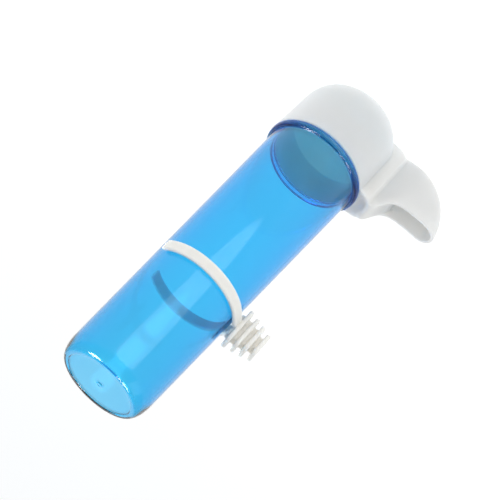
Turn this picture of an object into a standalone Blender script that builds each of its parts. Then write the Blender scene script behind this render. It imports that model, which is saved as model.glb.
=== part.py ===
"""A siphon drinker for small cage animals: a translucent tube, its spout cap and the clip that hangs it.

The tube hangs mouth down. The origin is the centre of the cap's flat bottom, on the tube's axis. +Z runs up
the axis to the tube's closed end. The spout and the clip's grooved block point along -Y. Lengths are metres.
"""

import math

import bmesh
import bpy

MM = 0.001
TURN_STEPS = 64
ARC_STEPS = 6

# Heights above the cap's flat bottom.
CAP_RIM = 39.7 * MM
TUBE_MOUTH = 25.0 * MM
TUBE_TOP = 185.0 * MM
SEAT_GAP = 0.3 * MM

# Tube.
TUBE_RADIUS = 23.0 * MM
TUBE_DRAFT = 0.0203
TUBE_WALL = 1.6 * MM
NECK_RADIUS = 22.5 * MM
FLANGE_RADIUS = 24.66 * MM
FLANGE_HEIGHT = 2.8 * MM
SHOULDER_DEPTH = 8.9 * MM
SHOULDER_WIDTH = 3.3 * MM

# Cap.
CAP_RADIUS = 24.6 * MM
CAP_EDGE_RADIUS = 15.9 * MM
CAP_WALL = 1.5 * MM
CAP_DRAFT = 0.0204

# Spout: a collar on the cap's side, then a deep scoop with a level rim.
SPOUT_WALL = 1.4 * MM
SPOUT_SQUARENESS = 3.0
# How far down a section's side its points are, as shares of its depth.
SECTION_DEPTHS = (0.0, 0.05, 0.11, 0.19, 0.35, 0.52, 0.67, 0.79, 0.88, 0.94, 0.98)
SCOOP_HALF_WIDTH = 6.5 * MM
SCOOP_TIP = 61.9 * MM
SCOOP_NOSE_LENGTH = 7.4 * MM
SCOOP_RIM = 28.5 * MM
ROOF_END = 39.6 * MM
PASSAGE_ROOF = 38.5 * MM
# The collar and the roof that runs down to the scoop's rim. Each station has its reach from the axis, its
# half-width, its top edge's height, how far the top sags between its edges, and how far those edges flare.
NECK_STATIONS = (
    (15.0 * MM, 7.4 * MM, 40.5 * MM, 2.4 * MM, 2.6 * MM),
    (22.9 * MM, 7.7 * MM, 40.5 * MM, 2.4 * MM, 2.2 * MM),
    (25.8 * MM, 8.1 * MM, 40.5 * MM, 2.3 * MM, 1.2 * MM),
    (27.8 * MM, 8.0 * MM, 40.6 * MM, 1.5 * MM, 0.4 * MM),
    (29.2 * MM, 7.5 * MM, 40.7 * MM, 0.4 * MM, 0.0 * MM),
    (30.1 * MM, 6.7 * MM, 40.8 * MM, 0.0 * MM, 0.0 * MM),
    (31.3 * MM, 6.4 * MM, 40.7 * MM, 0.0 * MM, 0.0 * MM),
    (32.8 * MM, 6.4 * MM, 39.2 * MM, 0.2 * MM, 0.0 * MM),
    (34.4 * MM, 6.4 * MM, 36.0 * MM, 0.6 * MM, 0.0 * MM),
    (36.0 * MM, 6.4 * MM, 33.0 * MM, 1.0 * MM, 0.0 * MM),
    (37.8 * MM, 6.5 * MM, 31.1 * MM, 1.2 * MM, 0.0 * MM),
    (40.4 * MM, 6.5 * MM, 29.7 * MM, 1.2 * MM, 0.0 * MM),
    (43.4 * MM, 6.5 * MM, 29.0 * MM, 1.2 * MM, 0.0 * MM),
    (47.5 * MM, 6.5 * MM, 28.6 * MM, 1.2 * MM, 0.0 * MM),
    (54.5 * MM, 6.5 * MM, 28.5 * MM, 1.2 * MM, 0.0 * MM),
)
FLARE_DEPTH = 7.0 * MM
# The scoop's underside in its middle plane, as (reach, height) control points of one cubic curve.
SCOOP_KEEL = ((30.5 * MM, 2.8 * MM), (46.5 * MM, -0.8 * MM), (58.7 * MM, 11.8 * MM), (SCOOP_TIP, 27.6 * MM))
COLLAR_KEEL = ((15.0 * MM, 1.4 * MM), (23.5 * MM, 1.6 * MM), (26.5 * MM, 2.5 * MM), (28.9 * MM, 3.9 * MM))

# Clip.
CLIP_HEIGHT = 126.6 * MM
RING_INNER_RADIUS = 21.6 * MM
RING_THICKNESS = 2.0 * MM
RING_WIDTH = 5.0 * MM
RING_TIP_ANGLE = math.radians(144)
ARM_LEAVES_AT = math.radians(21)
BLOCK_START = 22.4 * MM
FIN_START = 23.7 * MM
FIN_PITCH = 3.8 * MM
FIN_THICKNESS = 2.0 * MM
FIN_HALF_WIDTH = 4.6 * MM
FIN_LENGTHS = (18.4 * MM, 16.6 * MM, 14.9 * MM, 12.2 * MM)
CORE_HALF_WIDTH = 2.75 * MM
CORE_LENGTHS = (11.8 * MM, 10.2 * MM, 7.2 * MM)
CORE_CORNER = 1.4 * MM
FIN_CORNER = 2.2 * MM


def clear_scene():
    for old in list(bpy.data.objects):
        bpy.data.objects.remove(old)


def plastic(name, colour, roughness, alpha=1.0):
    material = bpy.data.materials.new(name)
    material.use_nodes = True
    shader = material.node_tree.nodes["Principled BSDF"]
    shader.inputs["Base Color"].default_value = (*colour, 1.0)
    shader.inputs["Roughness"].default_value = roughness
    shader.inputs["Metallic"].default_value = 0.0
    shader.inputs["Alpha"].default_value = alpha
    return material


def add_object(name, bm, material):
    """Closes off a bmesh as a smooth-shaded object with outward faces."""
    bmesh.ops.remove_doubles(bm, verts=bm.verts, dist=1e-6)
    bmesh.ops.recalc_face_normals(bm, faces=bm.faces)
    mesh = bpy.data.meshes.new(name)
    bm.to_mesh(mesh)
    bm.free()
    mesh.materials.append(material)
    mesh.shade_smooth()
    mesh.set_sharp_from_angle(angle=math.radians(35))
    made = bpy.data.objects.new(name, mesh)
    bpy.context.scene.collection.objects.link(made)
    return made


def turned(name, profile, material):
    """A solid of revolution about Z. The profile is (radius, height) points, from the axis back to the axis."""
    bm = bmesh.new()
    verts = [bm.verts.new((radius, 0.0, height)) for radius, height in profile]
    edges = [bm.edges.new(pair) for pair in zip(verts, verts[1:])]
    bmesh.ops.spin(
        bm,
        geom=verts + edges,
        cent=(0.0, 0.0, 0.0),
        axis=(0.0, 0.0, 1.0),
        angle=math.tau,
        steps=TURN_STEPS,
    )
    return add_object(name, bm, material)


def lofted(name, sections, material):
    """A solid through sections, which are rings of equally many points, with both end rings filled."""
    bm = bmesh.new()
    rings = [[bm.verts.new(point) for point in section] for section in sections]
    count = len(rings[0])
    for ring, following in zip(rings, rings[1:]):
        for i in range(count):
            j = (i + 1) % count
            bm.faces.new((ring[i], ring[j], following[j], following[i]))
    bm.faces.new(rings[0])
    bm.faces.new(rings[-1])
    return add_object(name, bm, material)


def combine(target, other, operation):
    """Adds or cuts with another object, which is kept only as a guide."""
    modifier = target.modifiers.new(other.name, "BOOLEAN")
    modifier.operation = operation
    modifier.object = other
    other.hide_render = True
    other.display_type = "WIRE"


def quarter_arc(centre, radii, start, end, steps=ARC_STEPS):
    """Points of an elliptical arc in the (radius, height) plane, from one angle to the other."""
    points = []
    for i in range(steps + 1):
        angle = start + (end - start) * i / steps
        points.append((centre[0] + radii[0] * math.cos(angle), centre[1] + radii[1] * math.sin(angle)))
    return points


def between(stations, column, reach):
    """A smooth value between stations: a cubic with the slopes of the neighbouring stations."""
    last = len(stations) - 1
    if reach >= stations[last][0]:
        return stations[last][column]
    i = max(k for k in range(last) if stations[k][0] <= reach)
    slopes = []
    for k in (i, i + 1):
        before = stations[max(k - 1, 0)]
        after = stations[min(k + 1, last)]
        slopes.append((after[column] - before[column]) / (after[0] - before[0]))
    span = stations[i + 1][0] - stations[i][0]
    t = (reach - stations[i][0]) / span
    start, end = stations[i][column], stations[i + 1][column]
    return (
        (2 * t**3 - 3 * t**2 + 1) * start
        + (t**3 - 2 * t**2 + t) * span * slopes[0]
        + (3 * t**2 - 2 * t**3) * end
        + (t**3 - t**2) * span * slopes[1]
    )


def keel_curve(inset, steps=60):
    """The spout's underside as (reach, height) points, moved inward by the inset along its normal."""
    a, b, c, d = SCOOP_KEEL
    points = [(reach, height + inset) for reach, height in COLLAR_KEEL]
    for i in range(steps + 1):
        t = i / steps
        weights = ((1 - t) ** 3, 3 * (1 - t) ** 2 * t, 3 * (1 - t) * t * t, t**3)
        slopes = ((1 - t) ** 2, 2 * (1 - t) * t, t * t)
        reach, height = (sum(w * p[k] for w, p in zip(weights, (a, b, c, d))) for k in (0, 1))
        along, up = (sum(w * (q[k] - p[k]) for w, p, q in zip(slopes, (a, b, c), (b, c, d))) for k in (0, 1))
        length = math.hypot(along, up)
        points.append((reach - inset * up / length, height + inset * along / length))
    return points


def on_curve(points, reach):
    for (r0, h0), (r1, h1) in zip(points, points[1:]):
        if r0 <= reach <= r1:
            return h0 + (h1 - h0) * (reach - r0) / (r1 - r0)
    return points[-1][1]


def spout_section(reach, half_width, bottom, top, sag=0.0, flare=0.0, lift=0.0):
    """A ring across the spout: upright sides, a round bottom and a top that sags between its flared edges.

    The top, with its edges, can be lifted straight up, so that a cutter comes out of the scoop's rim.
    """
    side = []
    for share in SECTION_DEPTHS:
        depth = share * (top - bottom)
        fade = max(0.0, 1 - depth / FLARE_DEPTH)
        across = half_width * (1 - share**SPOUT_SQUARENESS) ** (1 / SPOUT_SQUARENESS) + flare * fade**2
        side.append((across, top - depth))
    side[0] = (side[0][0], top + lift)
    ring = [(across, -reach, height) for across, height in side]
    ring.append((0.0, -reach, bottom))
    ring += [(-across, -reach, height) for across, height in reversed(side)]
    edge = side[0][0]
    for share in (-0.5, 0.0, 0.5):
        ring.append((edge * share, -reach, top + lift - sag * (1 - share * share)))
    return ring


def nose_reaches(inset, steps=6):
    """Reach and half-width along the scoop's rounded nose."""
    start = SCOOP_TIP - SCOOP_NOSE_LENGTH
    stations = []
    for i in range(steps + 1):
        angle = math.radians(84) * i / steps
        reach = start + (SCOOP_NOSE_LENGTH - inset) * math.sin(angle)
        stations.append((reach, (SCOOP_HALF_WIDTH - inset) * math.cos(angle)))
    return stations


def spaced(start, end, count):
    return [start + (end - start) * i / (count - 1) for i in range(count)]


def spout_outside(material):
    keel = keel_curve(0.0)
    sections = []
    for reach in spaced(15.0 * MM, 53.0 * MM, 27):
        half_width, top, sag, flare = (between(NECK_STATIONS, column, reach) for column in (1, 2, 3, 4))
        sections.append(spout_section(reach, half_width, on_curve(keel, reach), top, sag, flare))
    for reach, half_width in nose_reaches(0.0):
        sections.append(spout_section(reach, half_width, on_curve(keel, reach), SCOOP_RIM))
    return lofted("spout_outside", sections, material)


def spout_passage(material):
    """The covered way from the cap's inside to the scoop."""
    keel = keel_curve(SPOUT_WALL)
    sections = []
    for reach in spaced(18.0 * MM, ROOF_END + 1.0 * MM, 14):
        half_width = min(between(NECK_STATIONS, 1, reach), SCOOP_HALF_WIDTH) - SPOUT_WALL
        roof = min(between(NECK_STATIONS, 2, reach), PASSAGE_ROOF) - between(NECK_STATIONS, 3, reach)
        sections.append(spout_section(reach, half_width, on_curve(keel, reach), roof - SPOUT_WALL))
    return lofted("spout_passage", sections, material)


def scoop_hollow(material):
    """The open part of the scoop, from the end of the roof to the nose, cut up through the rim."""
    keel = keel_curve(SPOUT_WALL)
    stations = [(reach, SCOOP_HALF_WIDTH - SPOUT_WALL) for reach in spaced(ROOF_END, 53.0 * MM, 8)]
    stations += nose_reaches(SPOUT_WALL)
    sections = []
    for reach, half_width in stations:
        sections.append(spout_section(reach, half_width, on_curve(keel, reach), SCOOP_RIM, lift=6.0 * MM))
    return lofted("scoop_hollow", sections, material)


def reservoir_tube():
    blue = plastic("tube_blue", (0.05, 0.42, 0.85), 0.08, alpha=0.6)
    flange_top = CAP_RIM + SEAT_GAP + FLANGE_HEIGHT
    shoulder = TUBE_TOP - SHOULDER_DEPTH
    rim = FLANGE_RADIUS - 0.25 * MM
    shoulder_radius = TUBE_RADIUS - TUBE_DRAFT * (shoulder - CAP_RIM)
    inner_shoulder_radius = shoulder_radius - TUBE_WALL
    outside = [(0.0, TUBE_TOP)]
    outside += quarter_arc(
        (shoulder_radius - SHOULDER_WIDTH, shoulder), (SHOULDER_WIDTH, SHOULDER_DEPTH), math.pi / 2, 0.0
    )
    outside += [
        (TUBE_RADIUS - TUBE_DRAFT * (flange_top - CAP_RIM), flange_top),
        (rim, flange_top),
        (FLANGE_RADIUS, flange_top - 0.6 * MM),
        (FLANGE_RADIUS, CAP_RIM + SEAT_GAP + 0.6 * MM),
        (rim, CAP_RIM + SEAT_GAP),
        (NECK_RADIUS, CAP_RIM + SEAT_GAP),
        (NECK_RADIUS - 0.2 * MM, TUBE_MOUTH),
    ]
    mouth_radius = inner_shoulder_radius + TUBE_DRAFT * (shoulder - TUBE_MOUTH)
    inside = [(min(mouth_radius, NECK_RADIUS - 1.1 * MM), TUBE_MOUTH)]
    inside += quarter_arc(
        (shoulder_radius - SHOULDER_WIDTH, shoulder),
        (SHOULDER_WIDTH - TUBE_WALL, SHOULDER_DEPTH - TUBE_WALL),
        0.0,
        math.pi / 2,
    )
    inside += [(0.0, TUBE_TOP - TUBE_WALL)]
    return turned("reservoir_tube", outside + inside, blue)


def cap_profile(inset, top):
    """The cap's turned shape from its flat bottom up, moved inward by the inset. Above its rim it clears the flange."""
    bend = CAP_EDGE_RADIUS - inset
    side = CAP_RADIUS - CAP_DRAFT * (CAP_RIM - CAP_EDGE_RADIUS)
    centre = (side - CAP_EDGE_RADIUS, CAP_EDGE_RADIUS)
    points = [(0.0, inset)]
    points += quarter_arc(centre, (bend, bend), -math.pi / 2, 0.0, steps=9)
    points += [(CAP_RADIUS - inset, CAP_RIM)]
    if top > CAP_RIM:
        points += [(FLANGE_RADIUS + SEAT_GAP, CAP_RIM), (FLANGE_RADIUS + SEAT_GAP, top)]
    points += [(0.0, top)]
    return points


def spout_cap():
    white = plastic("cap_white", (0.86, 0.87, 0.88), 0.3)
    cap = turned("spout_cap", cap_profile(0.0, CAP_RIM), white)
    combine(cap, spout_outside(white), "UNION")
    combine(cap, turned("cap_hollow", cap_profile(CAP_WALL, CAP_RIM + 10.0 * MM), white), "DIFFERENCE")
    combine(cap, spout_passage(white), "DIFFERENCE")
    combine(cap, scoop_hollow(white), "DIFFERENCE")
    return cap


def ring_outline():
    """The two arms and their round tips, seen along the axis, as one closed line."""
    half = RING_THICKNESS / 2
    middle = RING_INNER_RADIUS + half
    steps = 22

    def edge(offset):
        """One side of the arms, from the tip at +X round by the block to the tip at -X."""
        radius = middle + offset
        angles = [RING_TIP_ANGLE + (ARM_LEAVES_AT - RING_TIP_ANGLE) * i / steps for i in range(steps + 1)]
        right = [(radius * math.sin(a), -radius * math.cos(a)) for a in angles]
        nose = [(0.0, -radius / math.cos(ARM_LEAVES_AT))]
        return right + nose + [(-x, y) for x, y in reversed(right)]

    def tip(side):
        """A half circle that closes the two edges of an arm."""
        centre = (side * middle * math.sin(RING_TIP_ANGLE), -middle * math.cos(RING_TIP_ANGLE))
        points = []
        for i in range(1, 6):
            turn = math.pi * i / 6
            radial = half * math.cos(turn)
            past = half * math.sin(turn)
            points.append(
                (
                    centre[0] + side * (radial * math.sin(RING_TIP_ANGLE) + past * math.cos(RING_TIP_ANGLE)),
                    centre[1] - radial * math.cos(RING_TIP_ANGLE) + past * math.sin(RING_TIP_ANGLE),
                )
            )
        return points

    return edge(half) + tip(-1) + list(reversed(edge(-half))) + list(reversed(tip(1)))


def block_section(half_width, length, corner, reach):
    """A rounded rectangle across the block, which is centred on the ring's height."""
    ring = []
    for side, up, start in ((1, 1, 0.0), (-1, 1, 0.5), (-1, -1, 1.0), (1, -1, 1.5)):
        for i in range(4):
            angle = math.pi * (start + 0.5 * i / 3)
            x = side * (half_width - corner) + corner * math.cos(angle)
            z = up * (length / 2 - corner) + corner * math.sin(angle)
            ring.append((x, -reach, CLIP_HEIGHT + z))
    return ring


def finned_block(material):
    """The block that the cage wires sit in: fins along -Y with a narrower core between them."""
    sections = [block_section(CORE_HALF_WIDTH, CORE_LENGTHS[0], CORE_CORNER, BLOCK_START)]
    for i, length in enumerate(FIN_LENGTHS):
        start = FIN_START + i * FIN_PITCH
        end = start + FIN_THICKNESS
        sections.append(block_section(CORE_HALF_WIDTH, CORE_LENGTHS[max(i - 1, 0)], CORE_CORNER, start))
        sections += [block_section(FIN_HALF_WIDTH, length, FIN_CORNER, reach) for reach in (start, end)]
        if i < len(CORE_LENGTHS):
            sections.append(block_section(CORE_HALF_WIDTH, CORE_LENGTHS[i], CORE_CORNER, end))
    return lofted("finned_block", sections, material)


def cage_clip():
    white = plastic("clip_white", (0.88, 0.87, 0.86), 0.35)
    outline = ring_outline()
    low, high = CLIP_HEIGHT - RING_WIDTH / 2, CLIP_HEIGHT + RING_WIDTH / 2
    clip = lofted("cage_clip", [[(x, y, z) for x, y in outline] for z in (low, high)], white)
    combine(clip, finned_block(white), "UNION")
    return clip


clear_scene()
reservoir_tube()
spout_cap()
cage_clip()
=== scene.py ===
"""A siphon drinker for small cage animals: a clear blue tube, a white spout cap and a white cage clip.

The CAD frame gives the bodies. Each CAD node is replaced here by a finer moulding with the same sizes.
The origin is the centre of the cap's flat bottom. +Z runs up the tube's axis, and the spout points along -Y.
"""

import math

import bmesh
import bpy
from mathutils import Matrix, Vector


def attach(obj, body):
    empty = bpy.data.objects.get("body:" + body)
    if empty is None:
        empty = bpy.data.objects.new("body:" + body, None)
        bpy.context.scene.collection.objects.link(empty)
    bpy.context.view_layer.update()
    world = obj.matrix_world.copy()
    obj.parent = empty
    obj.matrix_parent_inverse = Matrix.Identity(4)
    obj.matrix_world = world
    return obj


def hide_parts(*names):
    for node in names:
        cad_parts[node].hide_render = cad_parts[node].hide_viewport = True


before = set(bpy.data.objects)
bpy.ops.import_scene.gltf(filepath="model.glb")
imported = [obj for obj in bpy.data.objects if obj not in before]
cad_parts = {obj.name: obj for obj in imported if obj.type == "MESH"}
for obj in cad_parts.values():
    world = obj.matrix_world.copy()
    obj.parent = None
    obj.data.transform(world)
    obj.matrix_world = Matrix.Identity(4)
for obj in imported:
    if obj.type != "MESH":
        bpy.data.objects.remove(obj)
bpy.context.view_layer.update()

MM = 0.001
TURN_STEPS = 192

# Heights above the cap's flat bottom. The flange's foot is the seat gap above the cap's rim.
CAP_RIM = 39.7 * MM
TUBE_MOUTH = 25.0 * MM
TUBE_TOP = 185.0 * MM
SEAT_GAP = 0.3 * MM

# Tube. Its radius is the one at the height of the cap's rim.
TUBE_RADIUS = 23.0 * MM
TUBE_DRAFT = 0.0203
TUBE_WALL = 1.6 * MM
END_WALL = 1.3 * MM
END_INSIDE_CORNER = 1.9 * MM
END_FLAT_RADIUS = 14.0 * MM
NECK_RADIUS = 22.5 * MM
NECK_CHAMFER = 0.2 * MM
NECK_TAPER = 0.1 * MM
NECK_WALL = 1.1 * MM
FLANGE_RADIUS = 24.66 * MM
FLANGE_HEIGHT = 2.8 * MM
FLANGE_FOOT_CORNER = 0.5 * MM
FLANGE_FILLET = 0.6 * MM
SHOULDER_DEPTH = 8.9 * MM
SHOULDER_WIDTH = 3.3 * MM
RECESS_RADIUS = 15.6 * MM
RECESS_DEPTH = 0.3 * MM
RECESS_FLOOR = (3.0 * MM, RECESS_RADIUS - 0.6 * MM)
# The softened step round the recess, as (outward from its radius, up from its floor).
RECESS_STEP = (
    (-0.15 * MM, 0.03 * MM),
    (0.0 * MM, 0.1 * MM),
    (0.15 * MM, 0.27 * MM),
    (0.4 * MM, RECESS_DEPTH),
)
GATE_RADIUS = 1.5 * MM
GATE_HEIGHT = 0.28 * MM
# The gate mark's turned outline, as shares of its radius and of its height.
GATE_OUTLINE = ((0.0, 0.4), (0.4, 0.5), (0.7, 1.0), (0.9, 0.8), (1.0, 0.3), (1.3, 0.0))
WALL_STEPS = 24
SHOULDER_STEPS = 24
CROWN_STEPS = 12
LIP_STEPS = 10
CORNER_STEPS = 6
FLAT_STEPS = 6

# Cap.
CAP_RADIUS = 24.6 * MM
CAP_EDGE_RADIUS = 15.9 * MM
CAP_WALL = 1.5 * MM
CAP_DRAFT = 0.0204
CAP_HOLLOW_TOP = CAP_RIM + 10.0 * MM
CAP_EDGE_STEPS = 40

# Spout: a collar on the cap's side, then a deep scoop with a level rim.
SPOUT_START = 15.0 * MM
SPOUT_WALL = 1.4 * MM
ROOF_WALL = 3.0 * MM
SPOUT_SQUARENESS = 3.0
SPOUT_STEPS = 78
HOLLOW_STEPS = 40
SIDE_STEPS = 24
HALF_TOP_STEPS = 8
SCOOP_HALF_WIDTH = 6.5 * MM
SCOOP_TIP = 61.9 * MM
SCOOP_STRAIGHT_END = 53.5 * MM
SCOOP_NOSE_LENGTH = 7.4 * MM
SCOOP_NOSE_SWEEP = math.radians(86)
SCOOP_RIM = 28.5 * MM
SCOOP_LEAST_DEPTH = 0.5 * MM
SCOOP_CUT_ABOVE = 6.0 * MM
PASSAGE_START = 18.0 * MM
PASSAGE_OVERLAP = 1.0 * MM
PASSAGE_ROOF = 38.5 * MM
ROOF_END = 39.6 * MM
ROOF_LIP = 2.4 * MM
# The collar and the roof that runs down to the scoop's rim. Each station has its reach from the axis, its
# half-width, its top edge's height, how far the top sags between its edges, and how far those edges flare.
NECK_STATIONS = (
    (SPOUT_START, 7.4 * MM, 40.5 * MM, 2.4 * MM, 2.6 * MM),
    (22.9 * MM, 7.7 * MM, 40.5 * MM, 2.4 * MM, 2.2 * MM),
    (25.8 * MM, 8.1 * MM, 40.5 * MM, 2.3 * MM, 1.2 * MM),
    (27.8 * MM, 8.0 * MM, 40.6 * MM, 1.5 * MM, 0.4 * MM),
    (29.1 * MM, 7.8 * MM, 40.7 * MM, 0.4 * MM, 0.0 * MM),
    (29.8 * MM, 6.6 * MM, 40.8 * MM, 0.0 * MM, 0.0 * MM),
    (31.3 * MM, 6.4 * MM, 40.7 * MM, 0.0 * MM, 0.0 * MM),
    (32.8 * MM, 6.4 * MM, 39.2 * MM, 0.2 * MM, 0.0 * MM),
    (34.4 * MM, 6.4 * MM, 36.0 * MM, 0.3 * MM, 0.0 * MM),
    (36.0 * MM, 6.4 * MM, 33.0 * MM, 0.5 * MM, 0.0 * MM),
    (37.8 * MM, 6.5 * MM, 31.1 * MM, 1.0 * MM, 0.0 * MM),
    (40.4 * MM, 6.5 * MM, 29.7 * MM, 2.0 * MM, 0.0 * MM),
    (43.4 * MM, 6.5 * MM, 29.0 * MM, 1.2 * MM, 0.0 * MM),
    (47.5 * MM, 6.5 * MM, 28.6 * MM, 1.2 * MM, 0.0 * MM),
    (54.5 * MM, 6.5 * MM, 28.5 * MM, 1.2 * MM, 0.0 * MM),
)
# Where a station holds these values.
HALF_WIDTH, TOP, SAG, FLARE = 1, 2, 3, 4
FLARE_DEPTH = 7.0 * MM
# The scoop's underside in its middle plane, as (reach, height) control points of one cubic curve. The
# collar's underside runs straight between its own (reach, height) points.
SCOOP_KEEL = ((30.5 * MM, 2.8 * MM), (46.5 * MM, -0.8 * MM), (58.7 * MM, 11.8 * MM), (SCOOP_TIP, 27.6 * MM))
COLLAR_KEEL = ((SPOUT_START, 1.4 * MM), (23.5 * MM, 1.6 * MM), (26.5 * MM, 2.5 * MM), (28.9 * MM, 3.9 * MM))

# Clip. The block's and fins' starts are reaches from the axis, and their lengths run up the tube.
CLIP_HEIGHT = 126.6 * MM
RING_INNER_RADIUS = 21.6 * MM
RING_THICKNESS = 2.0 * MM
RING_WIDTH = 5.0 * MM
RING_TIP_ANGLE = math.radians(144)
ARM_LEAVES_AT = math.radians(21)
ARM_STEPS = 80
TIP_STEPS = 10
BLOCK_START = 22.4 * MM
FIN_START = 23.7 * MM
FIN_PITCH = 3.8 * MM
FIN_THICKNESS = 2.0 * MM
FIN_HALF_WIDTH = 4.6 * MM
FIN_LENGTHS = (18.4 * MM, 16.6 * MM, 14.9 * MM, 12.2 * MM)
CORE_HALF_WIDTH = 2.75 * MM
CORE_LENGTHS = (11.8 * MM, 10.2 * MM, 7.2 * MM)
CORE_CORNER = 1.4 * MM
FIN_CORNER = 2.2 * MM
FIN_EDGE = 0.7 * MM
RING_EDGE = 0.7 * MM
BLOCK_CORNER_STEPS = 8

# Fine meshes of the mouldings.
CAP_VOXEL = 0.3 * MM
CLIP_VOXEL = 0.2 * MM
SMOOTHING_PASSES = 2

# Looks. The white plastics have two tones, and the depth is how far light spreads in them.
TUBE_TINT = (0.04, 0.81, 0.955, 1.0)
TUBE_TINT_DENSITY = 1150.0
CAP_WHITE = (0.865, 0.85, 0.82)
CAP_SHADE = (0.845, 0.825, 0.79)
CAP_GLOW_DEPTH = 4.0 * MM
CLIP_WHITE = (0.8, 0.78, 0.73)
CLIP_SHADE = (0.77, 0.745, 0.69)
CLIP_GLOW_DEPTH = 3.0 * MM

# View and studio.
CAMERA_PLACE = (445.4 * MM, -39.0 * MM, 366.4 * MM)
VIEW_AZIMUTH = math.radians(85.75)
VIEW_ELEVATION = math.radians(31.33)
VIEW_ROLL = math.radians(-136.1)
LENS_MM = 89.48
FLOOR_HEIGHT = -300.0 * MM
FLOOR_REACH = 8.0
FLOOR_GLOW = 0.39
SKY_COLOUR = (0.95, 0.98, 1.0, 1.0)
SKY_STRENGTH = 0.62


# ---------------------------------------------------------------- mesh helpers


def new_object(name, bm):
    bmesh.ops.remove_doubles(bm, verts=bm.verts, dist=1e-6)
    bmesh.ops.recalc_face_normals(bm, faces=bm.faces)
    mesh = bpy.data.meshes.new(name)
    bm.to_mesh(mesh)
    bm.free()
    mesh.shade_smooth()
    made = bpy.data.objects.new(name, mesh)
    bpy.context.scene.collection.objects.link(made)
    return made


def turned(name, profile):
    """A solid of revolution about Z. The profile's (radius, height) points run from the axis back to it."""
    bm = bmesh.new()
    verts = [bm.verts.new((radius, 0.0, height)) for radius, height in profile]
    edges = [bm.edges.new(pair) for pair in zip(verts, verts[1:])]
    bmesh.ops.spin(
        bm,
        geom=verts + edges,
        cent=(0.0, 0.0, 0.0),
        axis=(0.0, 0.0, 1.0),
        angle=math.tau,
        steps=TURN_STEPS,
    )
    return new_object(name, bm)


def lofted(name, sections):
    """A solid through sections, which are rings of equally many points, with both end rings filled."""
    bm = bmesh.new()
    rings = [[bm.verts.new(point) for point in section] for section in sections]
    count = len(rings[0])
    for ring, following in zip(rings, rings[1:]):
        for i in range(count):
            j = (i + 1) % count
            bm.faces.new((ring[i], ring[j], following[j], following[i]))
    bm.faces.new(rings[0])
    bm.faces.new(rings[-1])
    return new_object(name, bm)


def apply_modifiers(piece):
    """Puts the piece's modifiers into its mesh."""
    depsgraph = bpy.context.evaluated_depsgraph_get()
    mesh = bpy.data.meshes.new_from_object(piece.evaluated_get(depsgraph), depsgraph=depsgraph)
    piece.modifiers.clear()
    piece.data = mesh


def combine(target, other, operation):
    modifier = target.modifiers.new(other.name, "BOOLEAN")
    modifier.operation = operation
    modifier.object = other
    apply_modifiers(target)
    bpy.data.objects.remove(other)


def moulded(piece, voxel):
    """Remeshes a piece finely and softens its edges, as a moulding's are."""
    remesh = piece.modifiers.new("fine mesh", "REMESH")
    remesh.mode = "VOXEL"
    remesh.voxel_size = voxel
    remesh.use_smooth_shade = True
    apply_modifiers(piece)
    smooth = piece.modifiers.new("soft edges", "SMOOTH")
    smooth.factor = 0.5
    smooth.iterations = SMOOTHING_PASSES
    apply_modifiers(piece)
    piece.data.shade_smooth()


def arc(centre, radii, start, end, steps):
    """Points of an elliptical arc in the (radius, height) plane, from one angle to the other."""
    points = []
    for i in range(steps + 1):
        angle = start + (end - start) * i / steps
        points.append((centre[0] + radii[0] * math.cos(angle), centre[1] + radii[1] * math.sin(angle)))
    return points


def between(stations, column, reach):
    """A smooth value between stations: a cubic with the slopes of the neighbouring stations."""
    last = len(stations) - 1
    if reach >= stations[last][0]:
        return stations[last][column]
    i = max(k for k in range(last) if stations[k][0] <= reach)
    slopes = []
    for k in (i, i + 1):
        before = stations[max(k - 1, 0)]
        after = stations[min(k + 1, last)]
        slopes.append((after[column] - before[column]) / (after[0] - before[0]))
    span = stations[i + 1][0] - stations[i][0]
    t = (reach - stations[i][0]) / span
    start, end = stations[i][column], stations[i + 1][column]
    return (
        (2 * t**3 - 3 * t**2 + 1) * start
        + (t**3 - 2 * t**2 + t) * span * slopes[0]
        + (3 * t**2 - 2 * t**3) * end
        + (t**3 - t**2) * span * slopes[1]
    )


def spaced(start, end, count):
    return [start + (end - start) * i / (count - 1) for i in range(count)]


# ---------------------------------------------------------------- the tube


def tube_radius(height):
    return TUBE_RADIUS - TUBE_DRAFT * (height - CAP_RIM)


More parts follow.
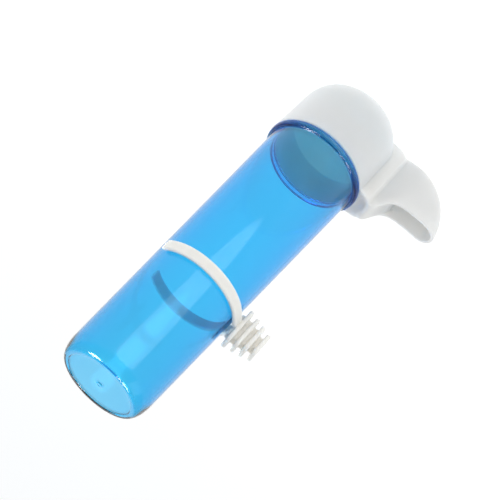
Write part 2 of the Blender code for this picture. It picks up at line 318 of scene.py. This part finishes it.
def tube_outside():
    """From the gate mark in the middle of the closed end, over the shoulder and the flange, to the neck."""
    flange_foot = CAP_RIM + SEAT_GAP
    flange_top = flange_foot + FLANGE_HEIGHT
    shoulder = TUBE_TOP - SHOULDER_DEPTH
    radius = tube_radius(shoulder)
    recess = TUBE_TOP - RECESS_DEPTH
    points = [(GATE_RADIUS * across, recess + GATE_HEIGHT * up) for across, up in GATE_OUTLINE]
    points += [(step, recess) for step in spaced(*RECESS_FLOOR, FLAT_STEPS)]
    points += [(RECESS_RADIUS + outward, recess + up) for outward, up in RECESS_STEP]
    centre = (radius - SHOULDER_WIDTH, shoulder)
    points += arc(centre, (SHOULDER_WIDTH, SHOULDER_DEPTH), math.pi / 2, 0.0, SHOULDER_STEPS)
    wall_top = shoulder - 4.0 * MM
    wall_foot = flange_top + FLANGE_FILLET + 0.2 * MM
    points += [(tube_radius(height), height) for height in spaced(wall_top, wall_foot, WALL_STEPS)]
    fillet = FLANGE_FILLET
    centre = (tube_radius(flange_top) + fillet, flange_top + fillet)
    points += arc(centre, (fillet, fillet), math.pi, math.pi * 1.5, CORNER_STEPS)
    foot = FLANGE_FOOT_CORNER
    crown = FLANGE_HEIGHT - foot
    depth = FLANGE_RADIUS - tube_radius(flange_top) - fillet
    centre = (FLANGE_RADIUS - depth, flange_foot + foot)
    points += arc(centre, (depth, crown), math.pi / 2, 0.0, CROWN_STEPS)
    centre = (FLANGE_RADIUS - foot, flange_foot + foot)
    points += arc(centre, (foot, foot), 0.0, -math.pi / 2, CORNER_STEPS)
    points += [(NECK_RADIUS + NECK_CHAMFER, flange_foot), (NECK_RADIUS, flange_foot - NECK_CHAMFER)]
    points += [(NECK_RADIUS - NECK_TAPER, (flange_foot + TUBE_MOUTH) / 2)]
    return points


def tube_inside():
    """From the mouth's edge up the inner wall to the middle of the closed end."""
    shoulder = TUBE_TOP - SHOULDER_DEPTH
    radius = tube_radius(shoulder) - TUBE_WALL
    drafted_mouth = radius + TUBE_DRAFT * (shoulder - TUBE_MOUTH)
    mouth = min(drafted_mouth, NECK_RADIUS - NECK_WALL)
    outer = NECK_RADIUS - 2 * NECK_TAPER
    lip = (outer - mouth) / 2
    points = arc((outer - lip, TUBE_MOUTH + lip), (lip, lip), 0.0, -math.pi, LIP_STEPS)
    start = TUBE_MOUTH + 3 * lip
    slope = (mouth - radius) / (shoulder - start)
    wall = spaced(start, shoulder - 3.0 * MM, WALL_STEPS)
    points += [(mouth - slope * (height - start), height) for height in wall]
    centre = (radius - END_INSIDE_CORNER, shoulder)
    points += arc(centre, (END_INSIDE_CORNER, SHOULDER_DEPTH - END_WALL), 0.0, math.pi / 2, SHOULDER_STEPS)
    points += [(step, TUBE_TOP - END_WALL) for step in spaced(END_FLAT_RADIUS, 0.0, FLAT_STEPS - 1)]
    return points


def reservoir_tube():
    return turned("tube", tube_outside() + tube_inside())


# ---------------------------------------------------------------- the spout cap


def keel_curve(inset, steps=90):
    """The spout's underside as (reach, height) points, moved inward by the inset along its normal."""
    a, b, c, d = SCOOP_KEEL
    points = [(reach, height + inset) for reach, height in COLLAR_KEEL]
    for i in range(steps + 1):
        t = i / steps
        weights = ((1 - t) ** 3, 3 * (1 - t) ** 2 * t, 3 * (1 - t) * t * t, t**3)
        slopes = ((1 - t) ** 2, 2 * (1 - t) * t, t * t)
        reach, height = (sum(w * p[k] for w, p in zip(weights, (a, b, c, d))) for k in (0, 1))
        along, up = (sum(w * (q[k] - p[k]) for w, p, q in zip(slopes, (a, b, c), (b, c, d))) for k in (0, 1))
        length = math.hypot(along, up)
        points.append((reach - inset * up / length, height + inset * along / length))
    return points


def on_curve(points, reach):
    for (r0, h0), (r1, h1) in zip(points, points[1:]):
        if r0 <= reach <= r1:
            return h0 + (h1 - h0) * (reach - r0) / (r1 - r0)
    return points[-1][1]


def spout_section(reach, half_width, bottom, top, sag=0.0, flare=0.0, lift=0.0):
    """A ring across the spout: upright sides, a round bottom and a top that sags between its flared edges.

    The sag leaves a flat rim as wide as the wall. The top, with its edges, can be lifted straight up, so
    that a cutter comes out of the scoop's rim.
    """
    side = []
    for i in range(SIDE_STEPS):
        share = math.sin(math.pi / 2 * i / SIDE_STEPS)
        depth = share * (top - bottom)
        fade = max(0.0, 1 - depth / FLARE_DEPTH)
        across = half_width * (1 - share**SPOUT_SQUARENESS) ** (1 / SPOUT_SQUARENESS) + flare * fade**2
        side.append((across, top - depth))
    side[0] = (side[0][0], top + lift)
    ring = [(across, -reach, height) for across, height in side]
    ring.append((0.0, -reach, bottom))
    ring += [(-across, -reach, height) for across, height in reversed(side)]
    edge = side[0][0]
    rim = 1 - SPOUT_WALL / max(edge, 2 * SPOUT_WALL)
    for i in range(1, 2 * HALF_TOP_STEPS):
        share = i / HALF_TOP_STEPS - 1
        dip = max(0.0, 1 - (share / rim) ** 2)
        ring.append((edge * share, -reach, top + lift - sag * dip))
    return ring


def nose_reaches(inset, steps=12):
    """Reach and half-width along the scoop's rounded nose."""
    start = SCOOP_TIP - SCOOP_NOSE_LENGTH
    stations = []
    for i in range(steps + 1):
        angle = SCOOP_NOSE_SWEEP * i / steps
        reach = start + (SCOOP_NOSE_LENGTH - inset) * math.sin(angle)
        stations.append((reach, (SCOOP_HALF_WIDTH - inset) * math.cos(angle)))
    return stations


def spout_outside():
    keel = keel_curve(0.0)
    sections = []
    columns = (HALF_WIDTH, TOP, SAG, FLARE)
    for reach in spaced(SPOUT_START, SCOOP_STRAIGHT_END, SPOUT_STEPS):
        half_width, top, sag, flare = (between(NECK_STATIONS, column, reach) for column in columns)
        sections.append(spout_section(reach, half_width, on_curve(keel, reach), top, sag, flare))
    for reach, half_width in nose_reaches(0.0):
        sections.append(spout_section(reach, half_width, on_curve(keel, reach), SCOOP_RIM))
    return lofted("spout_outside", sections)


def spout_passage():
    """The covered way from the cap's inside to the scoop."""
    keel = keel_curve(SPOUT_WALL)
    sections = []
    for reach in spaced(PASSAGE_START, ROOF_END + PASSAGE_OVERLAP, HOLLOW_STEPS):
        half_width = min(between(NECK_STATIONS, HALF_WIDTH, reach), SCOOP_HALF_WIDTH) - SPOUT_WALL
        roof = min(between(NECK_STATIONS, TOP, reach), PASSAGE_ROOF) - between(NECK_STATIONS, SAG, reach)
        sections.append(spout_section(reach, half_width, on_curve(keel, reach), roof - ROOF_WALL))
    return lofted("spout_passage", sections)


def scoop_hollow():
    """The open part of the scoop, from under the roof's sloping lip to the nose, cut up through the rim."""
    keel = keel_curve(SPOUT_WALL)
    start = ROOF_END - ROOF_LIP
    inner_half_width = SCOOP_HALF_WIDTH - SPOUT_WALL
    stations = [(reach, inner_half_width) for reach in spaced(start, SCOOP_STRAIGHT_END, HOLLOW_STEPS)]
    stations += nose_reaches(SPOUT_WALL)
    sections = []
    for reach, half_width in stations:
        roof = between(NECK_STATIONS, TOP, reach) - between(NECK_STATIONS, SAG, reach)
        lip = roof - SCOOP_RIM * ((reach - start) / (2 * ROOF_LIP)) ** 2
        bottom = max(on_curve(keel, reach), lip)
        top = max(SCOOP_RIM, bottom + SCOOP_LEAST_DEPTH)
        sections.append(spout_section(reach, half_width, bottom, top, lift=SCOOP_CUT_ABOVE))
    return lofted("scoop_hollow", sections)


def cap_profile(inset, top):
    """The cap's turned shape from its flat bottom up, moved inward. Above its rim it clears the flange."""
    bend = CAP_EDGE_RADIUS - inset
    side = CAP_RADIUS - CAP_DRAFT * (CAP_RIM - CAP_EDGE_RADIUS)
    centre = (side - CAP_EDGE_RADIUS, CAP_EDGE_RADIUS)
    points = [(0.0, inset)]
    points += arc(centre, (bend, bend), -math.pi / 2, 0.0, CAP_EDGE_STEPS)
    points += [(CAP_RADIUS - inset, CAP_RIM)]
    if top > CAP_RIM:
        points += [(FLANGE_RADIUS + SEAT_GAP, CAP_RIM), (FLANGE_RADIUS + SEAT_GAP, top)]
    points += [(0.0, top)]
    return points


def spout_cap():
    cap = turned("cap", cap_profile(0.0, CAP_RIM))
    combine(cap, spout_outside(), "UNION")
    combine(cap, turned("cap_hollow", cap_profile(CAP_WALL, CAP_HOLLOW_TOP)), "DIFFERENCE")
    combine(cap, spout_passage(), "DIFFERENCE")
    combine(cap, scoop_hollow(), "DIFFERENCE")
    moulded(cap, CAP_VOXEL)
    return cap


# ---------------------------------------------------------------- the clip


def ring_outline(inset):
    """The two arms and their round tips, seen along the axis, as one closed line moved in by the inset."""
    half = RING_THICKNESS / 2 - inset
    middle = RING_INNER_RADIUS + RING_THICKNESS / 2

    def edge(offset):
        """One side of the arms, from the tip at +X round by the block to the tip at -X."""
        radius = middle + offset
        angles = spaced(RING_TIP_ANGLE, ARM_LEAVES_AT, ARM_STEPS + 1)
        right = [(radius * math.sin(a), -radius * math.cos(a)) for a in angles]
        nose = [(0.0, -radius / math.cos(ARM_LEAVES_AT))]
        return right + nose + [(-x, y) for x, y in reversed(right)]

    def tip(side):
        """A half circle that closes the two edges of an arm."""
        across, along = math.sin(RING_TIP_ANGLE), math.cos(RING_TIP_ANGLE)
        points = []
        for i in range(1, TIP_STEPS):
            turn = math.pi * i / TIP_STEPS
            radial = middle + half * math.cos(turn)
            past = half * math.sin(turn)
            points.append((side * (radial * across + past * along), past * across - radial * along))
        return points

    return edge(half) + tip(-1) + list(reversed(edge(-half))) + list(reversed(tip(1)))


def block_section(half_width, length, corner, reach, inset=0.0):
    """A rounded rectangle across the block, centred on the ring's height and moved in by the inset."""
    ring = []
    corner_x = half_width - corner
    corner_z = length / 2 - corner
    radius = corner - inset
    for side, up, start in ((1, 1, 0.0), (-1, 1, 0.5), (-1, -1, 1.0), (1, -1, 1.5)):
        for i in range(BLOCK_CORNER_STEPS + 1):
            angle = math.pi * (start + 0.5 * i / BLOCK_CORNER_STEPS)
            x = side * corner_x + radius * math.cos(angle)
            z = up * corner_z + radius * math.sin(angle)
            ring.append((x, -reach, CLIP_HEIGHT + z))
    return ring


def rounded_edge(radius, steps=5):
    """A quarter round as (depth below the face, inset from the side) points, from the face down."""
    points = []
    for i in range(steps + 1):
        angle = math.pi / 2 * i / steps
        points.append((radius * (1 - math.cos(angle)), radius * (1 - math.sin(angle))))
    return points


def finned_block():
    """The block that the cage wires sit in: fins along -Y with a narrower core between them."""
    sections = [block_section(CORE_HALF_WIDTH, CORE_LENGTHS[0], CORE_CORNER, BLOCK_START)]
    for i, length in enumerate(FIN_LENGTHS):
        start = FIN_START + i * FIN_PITCH
        end = start + FIN_THICKNESS
        sections.append(block_section(CORE_HALF_WIDTH, CORE_LENGTHS[max(i - 1, 0)], CORE_CORNER, start))
        for depth, inset in rounded_edge(FIN_EDGE):
            sections.append(block_section(FIN_HALF_WIDTH, length, FIN_CORNER, start + depth, inset))
        for depth, inset in reversed(rounded_edge(FIN_EDGE)):
            sections.append(block_section(FIN_HALF_WIDTH, length, FIN_CORNER, end - depth, inset))
        if i < len(CORE_LENGTHS):
            sections.append(block_section(CORE_HALF_WIDTH, CORE_LENGTHS[i], CORE_CORNER, end))
    return lofted("finned_block", sections)


def cage_clip():
    levels = [(depth - RING_WIDTH / 2, inset) for depth, inset in rounded_edge(RING_EDGE)]
    levels += [(-level, inset) for level, inset in reversed(levels)]
    rings = [[(x, y, CLIP_HEIGHT + level) for x, y in ring_outline(inset)] for level, inset in levels]
    clip = lofted("clip", rings)
    combine(clip, finned_block(), "UNION")
    moulded(clip, CLIP_VOXEL)
    return clip


# ---------------------------------------------------------------- materials


def shader_of(name):
    material = bpy.data.materials.new(name)
    material.use_nodes = True
    return material, material.node_tree.nodes["Principled BSDF"]


def noise(tree, scale, detail):
    """Noise over the object's own coordinates."""
    coordinates = tree.nodes.new("ShaderNodeTexCoord")
    texture = tree.nodes.new("ShaderNodeTexNoise")
    texture.inputs["Scale"].default_value = scale
    texture.inputs["Detail"].default_value = detail
    tree.links.new(coordinates.outputs["Object"], texture.inputs["Vector"])
    return texture.outputs["Fac"]


def spread(tree, value, low, high):
    """Maps noise, which keeps near a half, to a range."""
    mapping = tree.nodes.new("ShaderNodeMapRange")
    mapping.inputs["From Min"].default_value = 0.3
    mapping.inputs["From Max"].default_value = 0.7
    mapping.inputs["To Min"].default_value = low
    mapping.inputs["To Max"].default_value = high
    tree.links.new(value, mapping.inputs["Value"])
    return mapping.outputs["Result"]


def bump(tree, shader, value, distance, strength):
    node = tree.nodes.new("ShaderNodeBump")
    node.inputs["Distance"].default_value = distance
    node.inputs["Strength"].default_value = strength
    tree.links.new(value, node.inputs["Height"])
    tree.links.new(node.outputs["Normal"], shader.inputs["Normal"])


def tube_plastic():
    """Clear styrene tinted blue all through, polished, with the faint waves of a moulded wall."""
    material, shader = shader_of("clear_blue_plastic")
    tree = material.node_tree
    shader.inputs["Base Color"].default_value = (1.0, 1.0, 1.0, 1.0)
    shader.inputs["Transmission Weight"].default_value = 1.0
    shader.inputs["IOR"].default_value = 1.5
    polish = spread(tree, noise(tree, scale=55.0, detail=3.0), low=0.015, high=0.05)
    tree.links.new(polish, shader.inputs["Roughness"])
    bump(tree, shader, noise(tree, scale=120.0, detail=1.0), distance=0.02 * MM, strength=0.5)
    absorption = tree.nodes.new("ShaderNodeVolumeAbsorption")
    absorption.inputs["Color"].default_value = TUBE_TINT
    absorption.inputs["Density"].default_value = TUBE_TINT_DENSITY
    output = tree.nodes["Material Output"]
    tree.links.new(absorption.outputs["Volume"], output.inputs["Volume"])
    return material


def white_plastic(name, colour, shade, depth):
    """White moulded plastic: satin gloss, slightly uneven in tone and gloss, with a fine mould grain."""
    material, shader = shader_of(name)
    tree = material.node_tree
    ramp = tree.nodes.new("ShaderNodeValToRGB")
    ramp.color_ramp.elements[0].position = 0.35
    ramp.color_ramp.elements[0].color = (*shade, 1.0)
    ramp.color_ramp.elements[1].position = 0.65
    ramp.color_ramp.elements[1].color = (*colour, 1.0)
    tree.links.new(noise(tree, scale=60.0, detail=4.0), ramp.inputs["Fac"])
    tree.links.new(ramp.outputs["Color"], shader.inputs["Base Color"])
    satin = spread(tree, noise(tree, scale=90.0, detail=3.0), low=0.3, high=0.42)
    tree.links.new(satin, shader.inputs["Roughness"])
    shader.inputs["IOR"].default_value = 1.49
    shader.inputs["Subsurface Weight"].default_value = 1.0
    shader.inputs["Subsurface Radius"].default_value = (1.0, 1.0, 1.0)
    shader.inputs["Subsurface Scale"].default_value = depth
    bump(tree, shader, noise(tree, scale=2200.0, detail=2.0), distance=0.015 * MM, strength=0.4)
    return material


# ---------------------------------------------------------------- the studio


def place_camera():
    camera = bpy.data.objects.new("camera", bpy.data.cameras.new("camera"))
    camera.data.lens = LENS_MM
    camera.data.clip_start = 0.01
    bpy.context.scene.collection.objects.link(camera)
    turn = Matrix.Rotation(VIEW_AZIMUTH, 4, "Z") @ Matrix.Rotation(math.pi / 2 - VIEW_ELEVATION, 4, "X")
    camera.matrix_world = Matrix.Translation(CAMERA_PLACE) @ turn @ Matrix.Rotation(VIEW_ROLL, 4, "Z")
    bpy.context.scene.camera = camera


def add_light(name, place, target, size, power, shape="RECTANGLE"):
    light = bpy.data.lights.new(name, "AREA")
    light.shape = shape
    light.size, light.size_y = size
    light.energy = power
    lamp = bpy.data.objects.new(name, light)
    lamp.location = place
    lamp.rotation_euler = (Vector(target) - Vector(place)).to_track_quat("-Z", "Y").to_euler()
    lamp.visible_camera = False
    bpy.context.scene.collection.objects.link(lamp)
    return lamp


def shine_on(name, pieces, lamps):
    """Keeps lamps to some pieces, as flags on a lamp stand do."""
    receivers = bpy.data.collections.new(name)
    for piece in pieces:
        receivers.objects.link(piece)
    for lamp in lamps:
        lamp.light_linking.receiver_collection = receivers


def let_through_tube(white_pieces, lamps):
    """Lets the lamps' light pass the clear tube, by making the white pieces the only ones that stop it."""
    blockers = bpy.data.collections.new("light_blockers")
    for piece in white_pieces:
        blockers.objects.link(piece)
    for lamp in lamps:
        lamp.light_linking.blocker_collection = blockers


def add_floor():
    bm = bmesh.new()
    bmesh.ops.create_grid(bm, x_segments=1, y_segments=1, size=FLOOR_REACH)
    floor = new_object("floor", bm)
    floor.location.z = FLOOR_HEIGHT
    material, shader = shader_of("pale_floor")
    shader.inputs["Base Color"].default_value = (0.95, 0.95, 0.95, 1.0)
    shader.inputs["Roughness"].default_value = 0.9
    shader.inputs["Emission Color"].default_value = (1.0, 1.0, 1.0, 1.0)
    shader.inputs["Emission Strength"].default_value = FLOOR_GLOW
    floor.data.materials.append(material)
    return floor


def add_sky():
    world = bpy.data.worlds.new("studio")
    world.use_nodes = True
    background = world.node_tree.nodes["Background"]
    background.inputs["Color"].default_value = SKY_COLOUR
    background.inputs["Strength"].default_value = SKY_STRENGTH
    bpy.context.scene.world = world
    bpy.context.scene.view_settings.view_transform = "Standard"


def add_room_lamps():
    """The lamps that light everything. The side lamp is returned, because its light also passes the tube."""
    side = add_light("side", (0.3, -0.9, 0.4), target=(0.0, 0.0, 0.09), size=(0.6, 0.6), power=0.7)
    add_light("back_top", (0.2, 0.5, 0.8), target=(0.0, 0.0, 0.12), size=(0.25, 0.25), power=1.5)
    add_light("overhead", (-0.05, -0.3, 0.95), target=(0.0, 0.0, 0.05), size=(0.3, 0.3), power=1.0)
    add_light("behind", (-0.67, 0.06, 0.457), target=(0.0, 0.0, 0.1), size=(0.7, 0.7), power=0.8)
    return side


def add_front_lamps():
    """A bright oval and a wider soft one round it, whose reflection is the streak along the tube."""
    target = (0.0, -0.1, 0.0)
    return [
        add_light("front", (0.62, -0.1, -0.05), target, size=(0.66, 0.4), power=0.62, shape="ELLIPSE"),
        add_light("front_soft", (0.63, -0.1, -0.05), target, size=(0.78, 0.42), power=0.28, shape="ELLIPSE"),
    ]


def add_piece_lamps(tube, cap, clip):
    """Lamps for one piece each: glints on the tube, and a light from behind on each white piece."""
    shine_on("glints", [tube], [
        add_light("glint_back", (0.21, 0.52, 0.83), target=(0.0, 0.0, 0.12), size=(0.42, 0.42), power=9.0),
        add_light("glint_top", (-0.05, -0.31, 0.97), target=(0.0, 0.0, 0.05), size=(0.4, 0.4), power=5.0),
    ])
    shine_on("backlit_cap", [cap], [
        add_light("cap_backlight", (-0.4, 0.4, 0.15), target=(0.0, 0.0, 0.03), size=(0.3, 0.3), power=0.9),
    ])
    shine_on("backlit_clip", [clip], [
        add_light("clip_backlight", (-0.45, 0.36, 0.2), target=(0.0, 0.0, 0.13), size=(0.3, 0.3), power=3.0),
    ])


# ---------------------------------------------------------------- assembly


def finish_piece(piece, body, node, material):
    piece.data.materials.clear()
    piece.data.materials.append(material)
    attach(piece, body)
    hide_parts(node)


place_camera()
add_sky()
floor = add_floor()
side_lamp = add_room_lamps()

tube = reservoir_tube()
cap = spout_cap()
clip = cage_clip()
cap_white = white_plastic("cap_white_plastic", CAP_WHITE, CAP_SHADE, CAP_GLOW_DEPTH)
clip_white = white_plastic("clip_white_plastic", CLIP_WHITE, CLIP_SHADE, CLIP_GLOW_DEPTH)
finish_piece(tube, "tube", "reservoir_tube", tube_plastic())
finish_piece(cap, "cap", "spout_cap", cap_white)
finish_piece(clip, "clip", "cage_clip", clip_white)

# The front lamps leave the cap out, so that its side facing them keeps its shading.
front_lamps = add_front_lamps()
add_piece_lamps(tube, cap, clip)
shine_on("front_lit", [tube, clip, floor], front_lamps)
let_through_tube([cap, clip], [*front_lamps, side_lamp])
